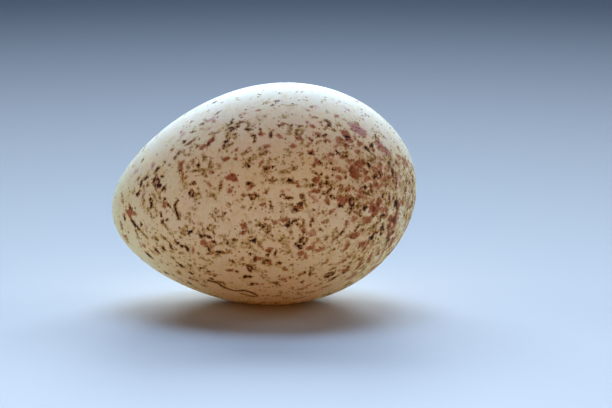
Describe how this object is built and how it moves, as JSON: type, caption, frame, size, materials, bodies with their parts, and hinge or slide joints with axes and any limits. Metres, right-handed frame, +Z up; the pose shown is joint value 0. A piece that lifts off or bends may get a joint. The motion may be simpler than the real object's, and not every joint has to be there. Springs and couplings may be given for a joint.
{
  "type": "blue tit egg",
  "caption": "Small speckled songbird egg, pointed at one end and blunt at the other, lying on its side on a small flat spot.",
  "frame": {"origin": "middle of the small flat spot on the underside that the egg rests on", "axes": "+Z up, square to the resting spot; the long axis lies over X with the blunt end towards +X and raised about 7 degrees, and the pointed end towards -X; Y runs across the egg, which is the same on both sides of Y = 0"},
  "size_m": [0.016, 0.0116, 0.0115],
  "materials": {
    "eggshell": "fine matte shell with a faint sheen, cream white with rust brown speckles that crowd round the blunt end"
  },
  "bodies": {
    "root": {"egg": "eggshell"}
  },
  "joints": []
}
